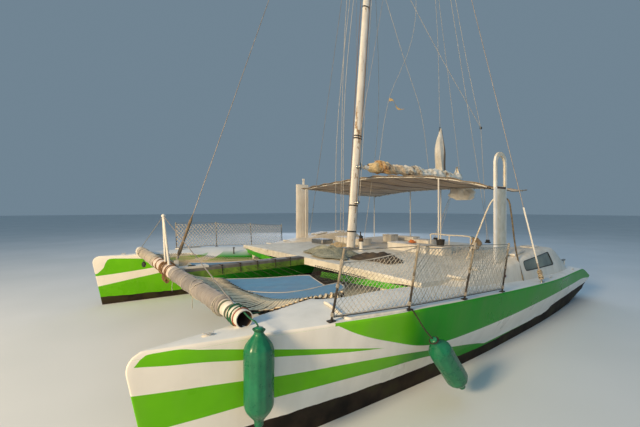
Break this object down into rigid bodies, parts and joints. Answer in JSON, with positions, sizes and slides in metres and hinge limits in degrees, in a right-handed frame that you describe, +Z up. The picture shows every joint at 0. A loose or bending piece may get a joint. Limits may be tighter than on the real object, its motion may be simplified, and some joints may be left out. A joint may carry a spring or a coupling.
{
  "type": "open-deck sailing catamaran",
  "caption": "Open-deck sailing catamaran: slim hulls, bridge deck, trampolines, raked mast, furled sail on its boom, daggerboards, rudders and a sun canopy.",
  "frame": {"origin": "on the waterline, on the centre line amidships", "axes": "+X to the bows, +Y to port, +Z up, with the water surface at z = 0"},
  "size_m": [11.5512, 8.8658, 20.6833],
  "materials": {
    "gelcoat": "off-white gelcoat with lime green bands, dark antifouling below",
    "deck_paint": "worn off-white non-slip deck paint",
    "painted_aluminium": "white paint, worn to brown and grey patches",
    "bare_aluminium": "weathered grey",
    "stainless": "polished, tea-stained",
    "dark_steel": "dull and stained",
    "wire_rope": "laid steel wire",
    "sailcloth": "weathered white polyester, stained ochre",
    "canopy_cloth": "taupe woven canvas",
    "netting": "white knotted cord",
    "fender_vinyl": "glossy green vinyl",
    "acrylic": "dark tinted",
    "foil_paint": "off-white paint"
  },
  "bodies": {
    "platform": {"port_hull": "gelcoat", "starboard_hull": "gelcoat", "port_coachroof": "gelcoat", "starboard_coachroof": "gelcoat", "port_window": "acrylic", "starboard_window": "acrylic", "bridge_deck": "deck_paint", "starboard_wing_deck": "deck_paint", "port_wing_deck": "deck_paint", "main_crossbeam": "gelcoat", "aft_crossbeam": "gelcoat", "front_crossbeam": "painted_aluminium", "centre_spine": "bare_aluminium", "forestay_bracket": "painted_aluminium", "seagull_striker": "painted_aluminium", "port_striker_wire": "wire_rope", "starboard_striker_wire": "wire_rope", "mast": "painted_aluminium", "mast_step": "bare_aluminium", "forestay": "wire_rope", "port_shroud": "wire_rope", "starboard_shroud": "wire_rope", "port_diamond_wire": "wire_rope", "starboard_diamond_wire": "wire_rope", "gooseneck": "stainless", "front_canopy_frame": "painted_aluminium", "aft_canopy_frame": "painted_aluminium", "port_canopy_pole": "dark_steel", "starboard_canopy_pole": "painted_aluminium", "canopy": "canopy_cloth", "port_board_guard": "stainless", "port_guard_rail": "dark_steel", "starboard_guard_rail": "dark_steel", "port_rail_net": "netting", "starboard_rail_net": "netting", "port_trampoline": "sailcloth", "starboard_trampoline": "sailcloth", "port_locker": "gelcoat", "starboard_locker": "gelcoat", "aft_bench": "gelcoat", "bow_fender": "fender_vinyl", "side_fender": "fender_vinyl"},
    "boom": {"boom": "painted_aluminium", "furled_mainsail": "sailcloth", "mainsail_head": "sailcloth"},
    "port_board": {"port_daggerboard": "foil_paint"},
    "starboard_board": {"starboard_daggerboard": "foil_paint"},
    "port_steering": {"port_rudder": "foil_paint", "port_tiller": "bare_aluminium"},
    "starboard_steering": {"starboard_rudder": "foil_paint", "starboard_tiller": "bare_aluminium"},
    "tie_bar": {"tiller_tie_bar": "bare_aluminium"},
    "port_companion_hatch": {"port_companion_hatch": "gelcoat"},
    "starboard_companion_hatch": {"starboard_companion_hatch": "gelcoat"},
    "port_locker_lid": {"port_locker_lid": "gelcoat"},
    "starboard_locker_lid": {"starboard_locker_lid": "gelcoat"}
  },
  "joints": [
    {"name": "boom_swing", "type": "hinge", "parent": "platform", "child": "boom", "pos_m": [-0.5651, 0, 3.70117], "axis": [-0.0872, 0, 0.9962], "range_deg": [-60, 60]},
    {"name": "port_board_drop", "type": "slide", "parent": "platform", "child": "port_board", "axis": [0, 0, -1], "range_m": [0, 1.35]},
    {"name": "starboard_board_drop", "type": "slide", "parent": "platform", "child": "starboard_board", "axis": [0, 0, -1], "range_m": [0, 1.85]},
    {"name": "port_rudder_turn", "type": "hinge", "parent": "platform", "child": "port_steering", "pos_m": [-5.2, 3.5, 0], "axis": [0, 0, 1], "range_deg": [-35, 35]},
    {"name": "starboard_rudder_turn", "type": "hinge", "parent": "platform", "child": "starboard_steering", "pos_m": [-5.2, -3.5, 0], "axis": [0, 0, 1], "range_deg": [-35, 35]},
    {"name": "tie_bar_pivot", "type": "hinge", "parent": "port_steering", "child": "tie_bar", "pos_m": [-4.77, 3.5, 1.087], "axis": [0, 0, 1], "range_deg": [-35, 35]},
    {"name": "port_companion_hatch_hinge", "type": "hinge", "parent": "platform", "child": "port_companion_hatch", "pos_m": [-1.93086, 3.5, 1.58467], "axis": [0, -1, 0], "range_deg": [0, 100]},
    {"name": "starboard_companion_hatch_hinge", "type": "hinge", "parent": "platform", "child": "starboard_companion_hatch", "pos_m": [-1.93086, -3.5, 1.58467], "axis": [0, -1, 0], "range_deg": [0, 100]},
    {"name": "port_locker_hinge", "type": "hinge", "parent": "platform", "child": "port_locker_lid", "pos_m": [-1.063, 1.15, 1.558], "axis": [0, 1, 0], "range_deg": [0, 100]},
    {"name": "starboard_locker_hinge", "type": "hinge", "parent": "platform", "child": "starboard_locker_lid", "pos_m": [-1.063, -1.15, 1.558], "axis": [0, 1, 0], "range_deg": [0, 100]}
  ],
  "couplings": [
    {"joint": "starboard_rudder_turn", "follows": "port_rudder_turn", "ratio": 1},
    {"joint": "tie_bar_pivot", "follows": "port_rudder_turn", "ratio": -1}
  ]
}
